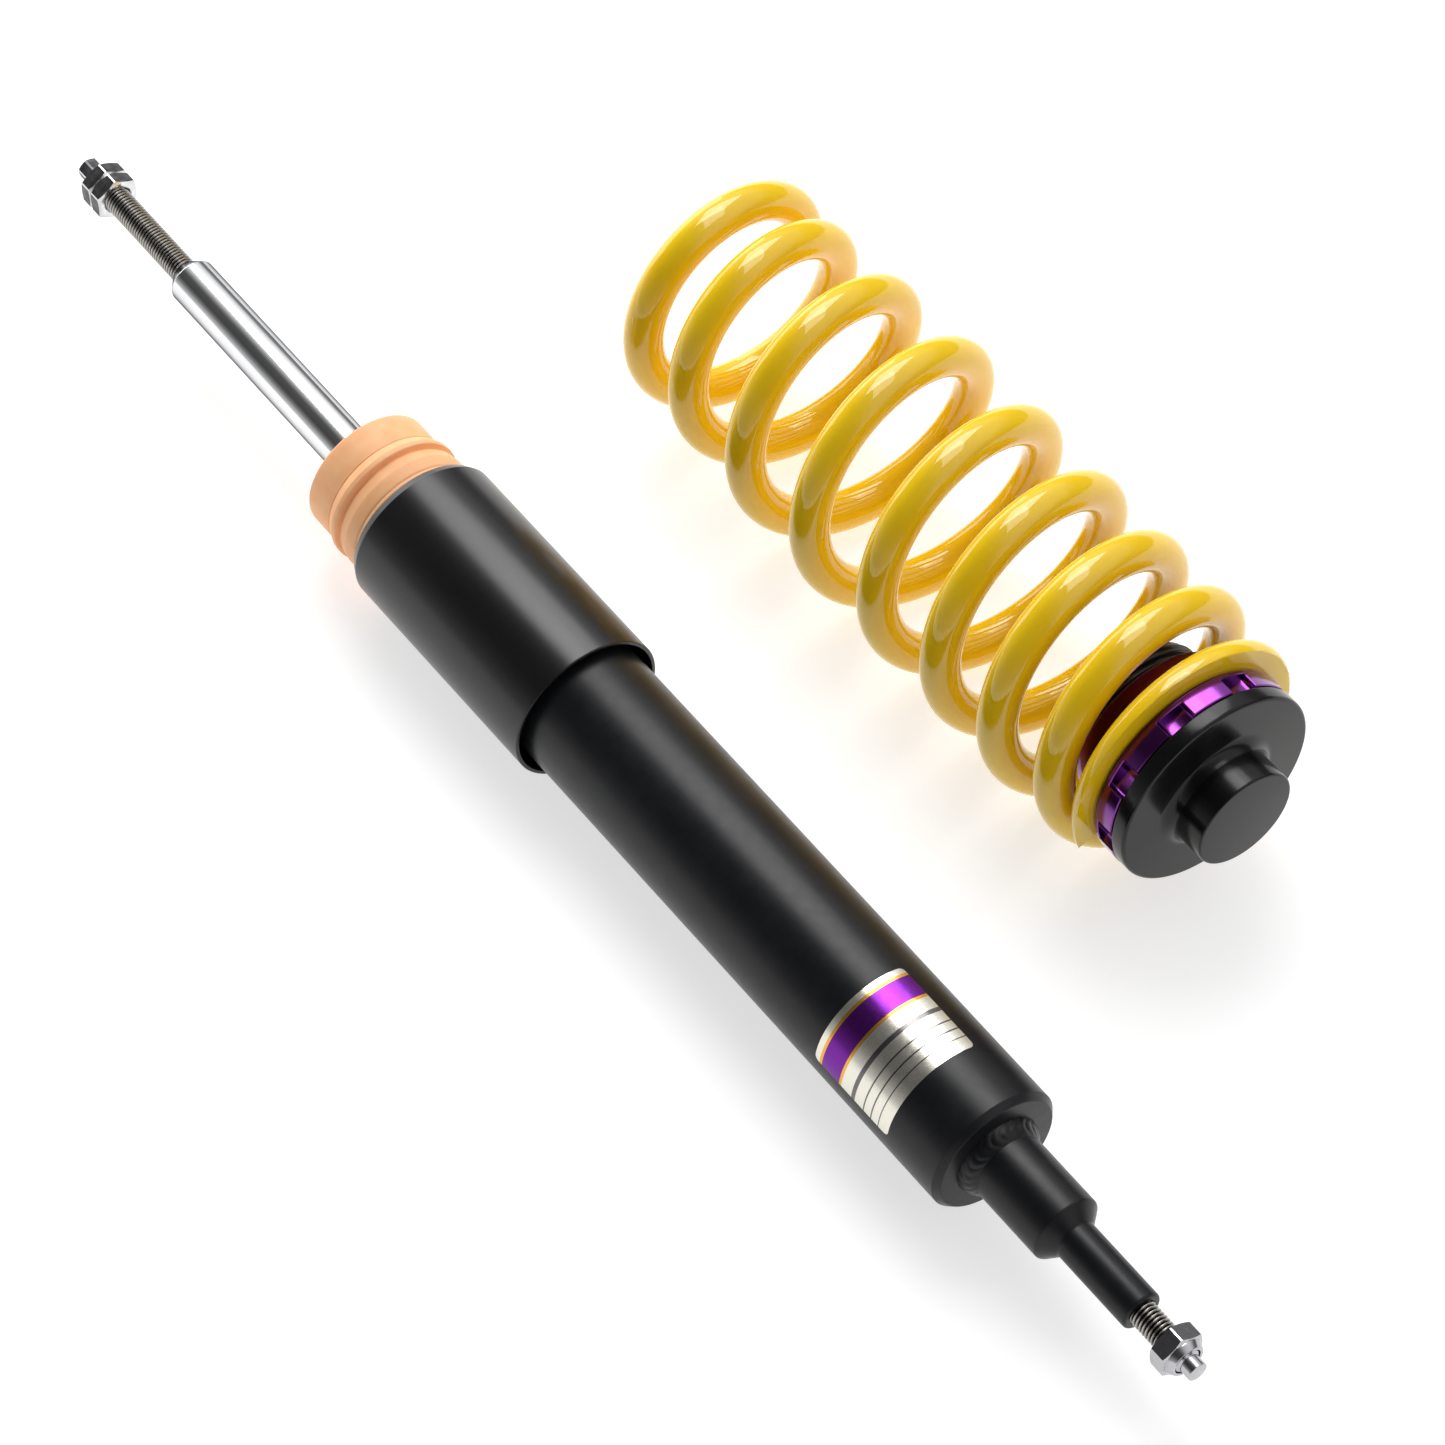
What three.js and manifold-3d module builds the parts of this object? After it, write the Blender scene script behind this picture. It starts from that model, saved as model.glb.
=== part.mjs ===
// A rear coilover in its two assemblies, lying side by side: a gas damper with its bump stop
// and dust sleeve, and the coil spring on its threaded height adjuster. Both axes run along X.
// +X points to the damper's lower stud and the adjuster's nose, +Z is up, and the spring set is
// on the +Y side. Distances along the damper start at its upper tip, and distances along the
// adjuster start at its nose face and run back toward the spring.
import * as THREE from "three";
import { mergeVertices } from "three/addons/utils/BufferGeometryUtils.js";
import Module from "manifold-3d";

const wasm = await Module();
wasm.setup();

// Driving dimensions, in millimetres and degrees.
const GAP = 0.3;
const SIDES = 32;
const AXIS_SPACING = 138.5;
const NOSE_FACE_X = 488.4;

const THREAD_R = 5;
const NUT_FLATS = 16;
const ROD_R = 8.85;
const ROD_BORE_R = ROD_R + GAP;
const ROD_SHOULDER = 64.6;
const SPIGOT_R = 6;

const TUBE_R = 24.8;
const TUBE_BORE_R = 22.6;
const TUBE_TOP = 223.3;
const TUBE_END = 533.4;
const GUIDE_TOP = 225.6;
const GUIDE_END = 247.6;
const PISTON_TOP = 253.1;
const PISTON_LENGTH = 18;
const BAND_INSET = 5;
const BAND_WIDTH = 8;
const FLOATING_TOP = 400;

const BUMP_TOP = 177.1;
const BUMP_R = 24.5;
const SLEEVE_TOP = 209.8;
const SLEEVE_END = 308.3;
const SLEEVE_R = 29.1;
const SLEEVE_WALL = 1.5;

const STEM_R = 13;
const STEM_NECK_R = 7.55;
const STEM_END = 607.9;
const STUD_DEPTH = 12;
const STUD_END = 635.6;

const LABEL_TOP = 469.5;
const LABEL_LENGTH = 38.5;
const LABEL_FROM = 66;
const LABEL_TO = 176;

const NOSE_R = 19.5;
const NOSE_LENGTH = 15.5;
const FLANGE_R = 39.3;
const FLANGE_BACK = 21.8;
const BODY_R = 27;
const BODY_TOP = 61.5;
const COLLAR_R = 39.5;
const COLLAR_SEAT = 30;
const COLLAR_BOSS_R = 30.9;
const COLLAR_BOSS_TOP = 50.6;
const SLOTS = 9;
const SLOT_FIRST = 67.5;
const SLOT_WIDTH = 11;
const SLOT_DEPTH = 3.4;
const SLOT_TOP = 28.6;
const SEAT_RING_THICKNESS = 1;

const WIRE_R = 7.15;
const SPRING_SEAT = COLLAR_SEAT + SEAT_RING_THICKNESS + 2 * GAP;
const SPRING_TOP = 297.8;
// Distance of the wire's centre from the nose face, and the coil's outer radius, once a turn
// from one turn before the first crest to one turn after the last.
const COIL_PLACE = [295.4, 292.2, 270.6, 236.2, 198.2, 160, 124.2, 91.4, 61.7, 36.2, 32];
const COIL_OUTER_R = [45, 45, 45.1, 47.6, 49.9, 49.9, 49.5, 49.6, 49.8, 46.4, 46];
const CREST_ANGLE = 24.6;
const WIRE_START = -CREST_ANGLE / 360;
const WIRE_TURNS = 8.5;
const HALF_WIRE_SIDES = 5;
const WIRE_STEPS = 136;

const STEEL = { color: 0xc4c6c8, roughness: 0.25, metalness: 1 };
const CHROME = { color: 0xe6e8ea, roughness: 0.08, metalness: 1 };
const BLACK_PAINT = { color: 0x17181a, roughness: 0.42, metalness: 0.1 };
const BLACK_PLASTIC = { color: 0x1a1b1c, roughness: 0.5, metalness: 0 };
const ORANGE_FOAM = { color: 0xf6b07c, roughness: 0.6, metalness: 0 };
const YELLOW_PAINT = { color: 0xf2c715, roughness: 0.15, metalness: 0 };
const PURPLE_ANODISED = { color: 0x8a1fc0, roughness: 0.2, metalness: 0.9 };
const ALUMINIUM = { color: 0xb9bcc0, roughness: 0.4, metalness: 1 };
const RUBBER = { color: 0x101112, roughness: 0.8, metalness: 0 };
const BRONZE = { color: 0xa9793a, roughness: 0.4, metalness: 1 };
const FOIL = { color: 0xd9d6c8, roughness: 0.35, metalness: 0.8 };

const radians = THREE.MathUtils.degToRad;

// Solids and booleans.
function solidOf(geometry) {
  const bare = geometry.clone();
  bare.deleteAttribute("normal");
  bare.deleteAttribute("uv");
  const merged = mergeVertices(bare, 1e-3);
  return new wasm.Manifold(
    new wasm.Mesh({
      numProp: 3,
      vertProperties: merged.attributes.position.array,
      triVerts: new Uint32Array(merged.index.array),
    }),
  );
}

function geometryOf(solid) {
  const { vertProperties, triVerts } = solid.getMesh();
  const geometry = new THREE.BufferGeometry();
  geometry.setAttribute("position", new THREE.BufferAttribute(vertProperties, 3));
  geometry.setIndex(new THREE.BufferAttribute(triVerts, 1));
  geometry.computeVertexNormals();
  return geometry;
}

// A piece turned about X from its outline of [x, radius] points. An outline that starts on the
// axis is a solid, and any other is a ring.
function turned(outline) {
  const points = outline.map(([x, r]) => new THREE.Vector2(r, x));
  if (outline[0][1] > 0) points.push(points[0].clone());
  if (THREE.ShapeUtils.area(points) < 0) points.reverse();
  return new THREE.LatheGeometry(points, SIDES).rotateZ(-Math.PI / 2);
}

function ring(from, to, inner, outer) {
  return turned([
    [from, inner],
    [from, outer],
    [to, outer],
    [to, inner],
  ]);
}

// A point at an angle measured from +Y toward +Z, drawn so that an extrusion turned to X
// carries it to that angle.
function atAngle(degrees, radius) {
  const a = radians(degrees);
  return new THREE.Vector2(-radius * Math.sin(a), radius * Math.cos(a));
}

function alongX(shape, from, length, curveSegments) {
  const geometry = new THREE.ExtrudeGeometry(shape, {
    depth: length,
    bevelEnabled: false,
    curveSegments,
  });
  return geometry.rotateY(Math.PI / 2).translate(from, 0, 0);
}

function hexagon(flats, firstCorner) {
  const cornerR = flats / 2 / Math.cos(Math.PI / 6);
  const corners = Array.from({ length: 6 }, (_, i) => atAngle(firstCorner + 60 * i, cornerR));
  return new THREE.Shape(corners);
}

// A hexagon nut with its corners chamfered at both faces.
function hexNut(from, length, firstCorner, boreR = THREAD_R + GAP) {
  const shape = hexagon(NUT_FLATS, firstCorner);
  shape.holes.push(new THREE.Path().absarc(0, 0, boreR, 0, 2 * Math.PI));
  const blank = solidOf(alongX(shape, from, length, 12));
  const faceR = NUT_FLATS / 2 - 0.2;
  const cornerR = NUT_FLATS / 2 / Math.cos(Math.PI / 6) + 0.1;
  const chamfer = 0.9;
  const envelope = turned([
    [from, 0],
    [from, faceR],
    [from + chamfer, cornerR],
    [from + length - chamfer, cornerR],
    [from + length, faceR],
    [from + length, 0],
  ]);
  return blank.intersect(solidOf(envelope));
}

// Damper pieces.
function pistonRod() {
  const tipLength = 8.4;
  const rodEnd = PISTON_TOP + 31;
  const shank = turned([
    [tipLength - 0.5, 0],
    [tipLength - 0.5, 3.4],
    [tipLength, THREAD_R],
    [ROD_SHOULDER, THREAD_R],
    [ROD_SHOULDER, 5.8],
    [ROD_SHOULDER + 3.9, ROD_R],
    [PISTON_TOP - 2.6, ROD_R],
    [PISTON_TOP - 2.6, SPIGOT_R],
    [rodEnd - 1, SPIGOT_R],
    [rodEnd, SPIGOT_R - 1],
    [rodEnd, 0],
  ]);
  const hexTip = alongX(hexagon(7.4, 12), 0, tipLength, 1);
  return geometryOf(solidOf(shank).add(solidOf(hexTip)));
}

function pressureTube() {
  const wallEnd = TUBE_END - 5;
  return turned([
    [TUBE_END, 0],
    [TUBE_END, 22.1],
    [TUBE_END - 2.8, TUBE_R],
    [TUBE_TOP + 1, TUBE_R],
    [TUBE_TOP, TUBE_R - 1],
    [TUBE_TOP, 15],
    [TUBE_TOP + 2, 15],
    [TUBE_TOP + 2, TUBE_BORE_R],
    [wallEnd, TUBE_BORE_R],
    [wallEnd, 0],
  ]);
}

function rodGuide() {
  const recessEnd = GUIDE_TOP + 8;
  const bushStart = GUIDE_TOP + 10.4;
  return turned([
    [GUIDE_TOP, 14.3],
    [GUIDE_TOP, TUBE_BORE_R - GAP],
    [GUIDE_END, TUBE_BORE_R - GAP],
    [GUIDE_END, 11],
    [bushStart, 11],
    [bushStart, 9.6],
    [recessEnd, 9.6],
    [recessEnd, 14.3],
  ]);
}

function piston() {
  const end = PISTON_TOP + PISTON_LENGTH;
  const bandStart = PISTON_TOP + BAND_INSET;
  const grooveR = 20.4;
  const outerR = 22;
  return turned([
    [PISTON_TOP, SPIGOT_R + GAP],
    [PISTON_TOP, outerR],
    [bandStart, outerR],
    [bandStart, grooveR],
    [bandStart + BAND_WIDTH, grooveR],
    [bandStart + BAND_WIDTH, outerR],
    [end, outerR],
    [end, SPIGOT_R + GAP],
  ]);
}

function floatingPiston() {
  const length = 18;
  const outerR = 22.1;
  const grooveR = 19.6;
  return turned([
    [FLOATING_TOP, 0],
    [FLOATING_TOP, outerR],
    [FLOATING_TOP + 6, outerR],
    [FLOATING_TOP + 6, grooveR],
    [FLOATING_TOP + 12, grooveR],
    [FLOATING_TOP + 12, outerR],
    [FLOATING_TOP + length, outerR],
    [FLOATING_TOP + length, 16],
    [FLOATING_TOP + 8, 16],
    [FLOATING_TOP + 8, 0],
  ]);
}

function bumpStop() {
  const lip = BUMP_TOP + 16.8;
  const groove = BUMP_TOP + 19.4;
  const end = SLEEVE_TOP + 7.2;
  const grooveR = 23.4;
  const lowerR = 25.1;
  return turned([
    [BUMP_TOP, ROD_BORE_R + 0.15],
    [BUMP_TOP, BUMP_R - 1.5],
    [BUMP_TOP + 0.5, BUMP_R - 0.4],
    [BUMP_TOP + 1.5, BUMP_R],
    [BUMP_TOP + 13, BUMP_R],
    [lip, 26],
    [lip + 1.6, 26],
    [groove, grooveR],
    [groove + 1.9, grooveR],
    [groove + 3, lowerR],
    [end, lowerR],
    [end, ROD_BORE_R + 0.15],
  ]);
}

function dustSleeve() {
  const gripR = 25.4;
  return turned([
    [SLEEVE_TOP, gripR],
    [SLEEVE_TOP, SLEEVE_R - 1.5],
    [SLEEVE_TOP + 3.1, SLEEVE_R],
    [SLEEVE_END, SLEEVE_R],
    [SLEEVE_END, SLEEVE_R - SLEEVE_WALL],
    [SLEEVE_TOP + 8.5, SLEEVE_R - SLEEVE_WALL],
    [SLEEVE_TOP + 5, gripR],
  ]);
}

function lowerStem() {
  const boreR = THREAD_R + GAP;
  return turned([
    [TUBE_END + GAP, 0],
    [TUBE_END + GAP, STEM_R],
    [TUBE_END + 35.7, STEM_R],
    [TUBE_END + 40.5, STEM_NECK_R],
    [STEM_END - 1.2, STEM_NECK_R],
    [STEM_END, STEM_NECK_R - 1.2],
    [STEM_END, boreR],
    [STEM_END - STUD_DEPTH - GAP, boreR],
    [STEM_END - STUD_DEPTH - GAP, 0],
  ]);
}

function weldBead() {
  const innerR = STEM_R + GAP;
  const from = TUBE_END + GAP;
  return turned([
    [from, innerR],
    [from, 16],
    [from + 1.6, 16.1],
    [from + 3.4, 15.2],
    [from + 5, 13.9],
    [from + 5.4, innerR],
  ]);
}

function lowerStud() {
  const dogR = 3.35;
  return turned([
    [STEM_END - STUD_DEPTH, 0],
    [STEM_END - STUD_DEPTH, THREAD_R],
    [STUD_END - 5, THREAD_R],
    [STUD_END - 4.6, dogR],
    [STUD_END - 0.4, dogR],
    [STUD_END, dogR - 0.4],
    [STUD_END, 0],
  ]);
}

// A nut with a turned locking collar beyond its outer face.
function lowerNut() {
  const from = 621.2;
  const length = 7;
  const face = from + length;
  const collar = turned([
    [face - 1, THREAD_R + GAP],
    [face - 1, 7.4],
    [face + 0.6, 7.4],
    [face + 2.6, 6],
    [face + 2.6, THREAD_R + GAP],
  ]);
  return geometryOf(hexNut(from, length, 34).add(solidOf(collar)));
}

function labelPlate() {
  const inner = TUBE_R + GAP;
  const outer = inner + 0.3;
  const shape = new THREE.Shape();
  const quarter = Math.PI / 2;
  shape.absarc(0, 0, outer, radians(LABEL_FROM) + quarter, radians(LABEL_TO) + quarter, false);
  shape.absarc(0, 0, inner, radians(LABEL_TO) + quarter, radians(LABEL_FROM) + quarter, true);
  return alongX(shape, LABEL_TOP, LABEL_LENGTH, 10);
}

// Spring and adjuster pieces.
function fromNose(outline) {
  return turned(outline.map(([d, r]) => [NOSE_FACE_X - d, r]));
}

function perchBase() {
  return fromNose([
    [0, 0],
    [0, NOSE_R - 0.8],
    [0.8, NOSE_R],
    [NOSE_LENGTH - 4, NOSE_R],
    [NOSE_LENGTH - 1.2, NOSE_R + 1.5],
    [NOSE_LENGTH, NOSE_R + 4.5],
    [NOSE_LENGTH, FLANGE_R - 1],
    [NOSE_LENGTH + 1, FLANGE_R],
    [FLANGE_BACK - 0.8, FLANGE_R],
    [FLANGE_BACK, FLANGE_R - 0.8],
    [FLANGE_BACK, 0],
  ]);
}

function threadedBody() {
  return fromNose([
    [FLANGE_BACK + GAP, 0],
    [FLANGE_BACK + GAP, BODY_R],
    [BODY_TOP - 1, BODY_R],
    [BODY_TOP, BODY_R - 1],
    [BODY_TOP, 0],
  ]);
}

function adjusterCollar() {
  const start = FLANGE_BACK + GAP;
  const boreR = BODY_R + GAP + 0.1;
  let collar = solidOf(
    fromNose([
      [start, boreR],
      [start, COLLAR_R],
      [COLLAR_SEAT - 0.8, COLLAR_R],
      [COLLAR_SEAT, COLLAR_R - 0.7],
      [COLLAR_SEAT, COLLAR_BOSS_R],
      [COLLAR_BOSS_TOP - 0.8, COLLAR_BOSS_R],
      [COLLAR_BOSS_TOP, COLLAR_BOSS_R - 0.8],
      [COLLAR_BOSS_TOP, boreR],
    ]),
  );
  const low = start - 1;
  for (let i = 0; i < SLOTS; i += 1) {
    const slot = new THREE.BoxGeometry(SLOT_TOP - low, 2 * SLOT_DEPTH, SLOT_WIDTH);
    slot.translate(NOSE_FACE_X - (SLOT_TOP + low) / 2, COLLAR_R, 0);
    slot.rotateX(radians(SLOT_FIRST + (360 / SLOTS) * i));
    collar = collar.subtract(solidOf(slot));
  }
  return geometryOf(collar);
}

function seatRing() {
  const from = COLLAR_SEAT + GAP;
  return ring(
    NOSE_FACE_X - from - SEAT_RING_THICKNESS,
    NOSE_FACE_X - from,
    COLLAR_BOSS_R + 1.9,
    COLLAR_R - 0.4,
  );
}

// The wire's centre line: a right-hand helix whose pitch and radius change from turn to turn.
class WireLine extends THREE.Curve {
  constructor() {
    super();
    const curveOf = (values) => new THREE.SplineCurve(values.map((v, i) => new THREE.Vector2(i, v)));
    this.place = curveOf(COIL_PLACE);
    this.outer = curveOf(COIL_OUTER_R);
  }

  getPoint(t, target = new THREE.Vector3()) {
    const turn = WIRE_START + WIRE_TURNS * t;
    const share = (turn + 1) / (COIL_PLACE.length - 1);
    const angle = radians(CREST_ANGLE + 360 * turn);
    const radius = this.outer.getPoint(share).y - WIRE_R;
    const x = NOSE_FACE_X - this.place.getPoint(share).y;
    return target.set(x, radius * Math.cos(angle), radius * Math.sin(angle));
  }
}

// The spring's wire, with both ends ground flat square to the axis.
function coilSpring() {
  const section = new THREE.Shape().absarc(0, 0, WIRE_R, 0, 2 * Math.PI);
  const wire = new THREE.ExtrudeGeometry(section, {
    steps: WIRE_STEPS,
    curveSegments: HALF_WIRE_SIDES,
    extrudePath: new WireLine(),
  });
  const length = SPRING_TOP - SPRING_SEAT;
  const between = new THREE.BoxGeometry(length, 150, 150);
  between.translate(NOSE_FACE_X - SPRING_SEAT - length / 2, 0, 0);
  return geometryOf(solidOf(wire).intersect(solidOf(between)));
}

// The scene graph.
function add(group, name, geometry, finish) {
  const mesh = new THREE.Mesh(geometry, new THREE.MeshStandardMaterial(finish));
  mesh.name = name;
  group.add(mesh);
}

function damper() {
  const group = new THREE.Group();
  const pistonEnd = PISTON_TOP + PISTON_LENGTH;
  const bandStart = PISTON_TOP + BAND_INSET + GAP;
  const pistonNut = hexNut(pistonEnd + 2.6, 8, 0, SPIGOT_R + GAP);
  add(group, "piston_rod", pistonRod(), CHROME);
  add(group, "top_nut_upper", geometryOf(hexNut(8.4, 5.7, 31.3)), STEEL);
  add(group, "top_nut_lower", geometryOf(hexNut(14.4, 5.7, 31.3)), STEEL);
  add(group, "rebound_shims", ring(PISTON_TOP - 2.3, PISTON_TOP - GAP, SPIGOT_R + GAP, 15), STEEL);
  add(group, "piston", piston(), ALUMINIUM);
  add(group, "piston_band", ring(bandStart, bandStart + BAND_WIDTH - 2 * GAP, 20.7, 22.3), RUBBER);
  add(group, "compression_shims", ring(pistonEnd + GAP, pistonEnd + 2.3, SPIGOT_R + GAP, 17), STEEL);
  add(group, "piston_nut", geometryOf(pistonNut), STEEL);
  add(group, "pressure_tube", pressureTube(), BLACK_PAINT);
  add(group, "rod_guide", rodGuide(), ALUMINIUM);
  add(group, "guide_bushing", ring(GUIDE_TOP + 10.7, GUIDE_END - GAP, ROD_BORE_R, 10.7), BRONZE);
  add(group, "rod_seal", ring(GUIDE_TOP + GAP, GUIDE_TOP + 7.7, ROD_BORE_R, 14), RUBBER);
  add(group, "guide_clip", ring(GUIDE_END + GAP, GUIDE_END + 2.3, 20.6, 22.3), STEEL);
  add(group, "floating_piston", floatingPiston(), ALUMINIUM);
  add(group, "floating_seal", ring(FLOATING_TOP + 6.3, FLOATING_TOP + 11.7, 19.9, 22.25), RUBBER);
  add(group, "bump_stop", bumpStop(), ORANGE_FOAM);
  add(group, "dust_sleeve", dustSleeve(), BLACK_PLASTIC);
  add(group, "label_plate", labelPlate(), FOIL);
  add(group, "lower_stem", lowerStem(), BLACK_PAINT);
  add(group, "weld_bead", weldBead(), BLACK_PAINT);
  add(group, "lower_stud", lowerStud(), STEEL);
  add(group, "lower_nut", lowerNut(), STEEL);
  return group;
}

function springSet() {
  const group = new THREE.Group();
  add(group, "perch_base", perchBase(), BLACK_PLASTIC);
  add(group, "threaded_body", threadedBody(), BLACK_PLASTIC);
  add(group, "adjuster_collar", adjusterCollar(), PURPLE_ANODISED);
  add(group, "seat_ring", seatRing(), PURPLE_ANODISED);
  add(group, "coil_spring", coilSpring(), YELLOW_PAINT);
  return group;
}

// Both assemblies lie on one floor, and the origin is under the middle of their common box.
const coilover = new THREE.Group();
const damperSet = damper();
const springAssembly = springSet();
springAssembly.position.y = AXIS_SPACING;
for (const assembly of [damperSet, springAssembly]) {
  assembly.position.z = -new THREE.Box3().setFromObject(assembly, true).min.z;
  coilover.add(assembly);
}
const middle = new THREE.Box3().setFromObject(coilover, true).getCenter(new THREE.Vector3());
for (const assembly of [damperSet, springAssembly]) {
  assembly.position.x -= middle.x;
  assembly.position.y -= middle.y;
}

export default coilover;
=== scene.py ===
"""The looks of a rear coilover: a damper set and a spring set lying side by side on a pale floor."""

import math

import bmesh
import bpy
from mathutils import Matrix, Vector


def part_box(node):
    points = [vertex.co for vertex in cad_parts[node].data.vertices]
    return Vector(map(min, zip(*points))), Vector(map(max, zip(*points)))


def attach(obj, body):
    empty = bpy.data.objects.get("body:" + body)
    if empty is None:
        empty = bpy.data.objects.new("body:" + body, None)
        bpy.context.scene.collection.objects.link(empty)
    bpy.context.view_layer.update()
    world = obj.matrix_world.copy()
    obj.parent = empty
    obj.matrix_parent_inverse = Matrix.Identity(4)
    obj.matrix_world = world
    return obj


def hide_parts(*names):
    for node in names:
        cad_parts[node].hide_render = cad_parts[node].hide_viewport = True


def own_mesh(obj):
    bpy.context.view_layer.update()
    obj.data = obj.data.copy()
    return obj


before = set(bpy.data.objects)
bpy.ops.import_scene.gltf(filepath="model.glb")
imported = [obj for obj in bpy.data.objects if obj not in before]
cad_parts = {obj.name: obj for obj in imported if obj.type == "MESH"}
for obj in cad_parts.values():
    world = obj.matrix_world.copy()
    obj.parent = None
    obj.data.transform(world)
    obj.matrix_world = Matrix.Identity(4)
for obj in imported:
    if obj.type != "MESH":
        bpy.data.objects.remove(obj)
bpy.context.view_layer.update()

MM = 0.001
TAU = 2 * math.pi

# Where the CAD frame puts the two axes and the ends that distances are measured from.
rod_box, tube_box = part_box("piston_rod"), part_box("pressure_tube")
base_box, coil_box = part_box("perch_base"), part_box("coil_spring")
DAMPER_Y = (tube_box[0].y + tube_box[1].y) / 2
DAMPER_Z = (tube_box[0].z + tube_box[1].z) / 2
SPRING_Y = (base_box[0].y + base_box[1].y) / 2
SPRING_Z = (base_box[0].z + base_box[1].z) / 2
TIP_X = rod_box[0].x
NOSE_X = base_box[1].x


# ---------------------------------------------------------------- sizes in mm
# Places along the damper are measured from the rod's tip.
ROD_R, THREAD_R, THREAD_ROOT_R = 8.85, 5.0, 4.2
TIP_END, SHOULDER, PISTON_SEAT, ROD_END = 8.6, 64.2, 250.5, 284.1
NUT_FLATS, NUT_BORE_R = 16, 5.1
TUBE_R, TUBE_END = 24.8, 533.4
SLEEVE_TOP, SLEEVE_END, SLEEVE_R = 209.8, 308.3, 29.1
BUMP_TOP = 177.1
STEM_R, NECK_R, STEM_END = 13, 7.55, 607.9
LOWER_NUT_TOP, LOWER_NUT_END, LOCK_COLLAR_END = 621.2, 628.2, 630.8
DOG_R, STUD_END = 3.7, 635.6

# Places along the spring set are measured from the nose's face.
NOSE_R, NOSE_LENGTH = 19.5, 15.5
FLANGE_R, FLANGE_BACK = 39.3, 21.8
BODY_R, BODY_ROOT_R, BODY_TOP, BODY_PITCH = 27.0, 25.3, 61.5, 3.0
COLLAR_R, COLLAR_SEAT, BOSS_R, BOSS_TOP = 39.5, 30.0, 30.9, 50.6
# The spanner slots: their count, the first one's angle, half their width in degrees, depth and end.
SLOTS, SLOT_FIRST, SLOT_HALF, SLOT_DEPTH, SLOT_TOP = 9, 67.5, 8.0, 3.4, 28.6
WIRE_R, WIRE_TURNS = 7.15, 8.55
# The wire's centre along the axis and its outer radius, a turn apart, from the free end to the seat,
# each at the crest's angle. The first and last of each lie past the wire's ends and steer its curve.
CREST_ANGLE = 24.6
COIL_PLACE = [295.4, 292.2, 270.6, 236.2, 198.2, 160, 124.2, 91.4, 61.7, 35.6, 29.6]
COIL_OUTER_R = [45, 45, 45.1, 47.6, 49.9, 49.9, 49.5, 49.6, 49.8, 46.9, 46.6]


# ---------------------------------------------------------------- places
def on_damper(d, r, angle):
    """The point d mm from the rod's tip, r mm off the damper's axis, at an angle from +Y toward +Z."""
    return (
        TIP_X + d * MM,
        DAMPER_Y + r * MM * math.cos(angle),
        DAMPER_Z + r * MM * math.sin(angle),
    )


def on_spring(d, r, angle):
    """The point d mm from the nose face toward the spring, r mm off the spring's axis."""
    return (
        NOSE_X - d * MM,
        SPRING_Y + r * MM * math.cos(angle),
        SPRING_Z + r * MM * math.sin(angle),
    )


# ---------------------------------------------------------------- mesh helpers
def finish_mesh(name, verts, faces, sharp=35):
    """A mesh object, welded, facing out, smooth except at edges sharper than an angle."""
    weld, sliver = 2e-6, 1e-7
    mesh = bpy.data.meshes.new(name)
    mesh.from_pydata(verts, [], faces)
    bm = bmesh.new()
    bm.from_mesh(mesh)
    bmesh.ops.remove_doubles(bm, verts=bm.verts, dist=weld)
    bmesh.ops.dissolve_degenerate(bm, edges=bm.edges, dist=sliver)
    bmesh.ops.recalc_face_normals(bm, faces=bm.faces)
    for face in bm.faces:
        face.smooth = True
    limit = math.radians(sharp)
    for edge in bm.edges:
        edge.smooth = len(edge.link_faces) == 2 and edge.calc_face_angle(0) < limit
    bm.to_mesh(mesh)
    bm.free()
    obj = bpy.data.objects.new(name, mesh)
    bpy.context.scene.collection.objects.link(obj)
    return obj


def grid_faces(rows, columns, wrap_rows, wrap_columns):
    """The quads of a grid of points, stored row by row."""
    faces = []
    for i in range(rows if wrap_rows else rows - 1):
        for j in range(columns if wrap_columns else columns - 1):
            k, m = (i + 1) % rows, (j + 1) % columns
            faces.append((i * columns + j, i * columns + m, k * columns + m, k * columns + j))
    return faces


def soften(corners, closed, steps=4):
    """An outline of (d, r) points from corners (d, r) or (d, r, fillet), each fillet a round."""
    points = []
    count = len(corners)
    for i, corner in enumerate(corners):
        here = Vector(corner[:2])
        fillet = corner[2] if len(corner) > 2 else 0
        ends = not closed and i in (0, count - 1)
        if not fillet or ends:
            points.append(tuple(here))
            continue
        back = (Vector(corners[i - 1][:2]) - here).normalized()
        ahead = (Vector(corners[(i + 1) % count][:2]) - here).normalized()
        half = back.angle(ahead) / 2
        reach = fillet / math.tan(half)
        centre = here + (back + ahead).normalized() * fillet / math.sin(half)
        first, last = here + back * reach - centre, here + ahead * reach - centre
        turn = first.angle(last)
        for k in range(steps + 1):
            t = k / steps
            mix = (first * math.sin((1 - t) * turn) + last * math.sin(t * turn)) / math.sin(turn)
            points.append(tuple(centre + mix))
    return points


def lathe(name, place, corners, sides=144, sharp=35, steps=4):
    """A piece turned about its axis. Corners that start on the axis make a solid, others a ring."""
    closed = corners[0][1] > 0
    outline = soften(corners, closed, steps)
    verts = [place(d, r, TAU * j / sides) for d, r in outline for j in range(sides)]
    return finish_mesh(name, verts, grid_faces(len(outline), sides, closed, True), sharp)


def polar(name, place, profile_at, angles, closed=True, sharp=30):
    """A piece whose outline changes with the angle: profile_at(angle) gives its (d, r) points."""
    rows = [profile_at(a) for a in angles]
    verts = [place(d, r, a) for a, row in zip(angles, rows) for d, r in row]
    return finish_mesh(name, verts, grid_faces(len(rows), len(rows[0]), True, closed), sharp)


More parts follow.
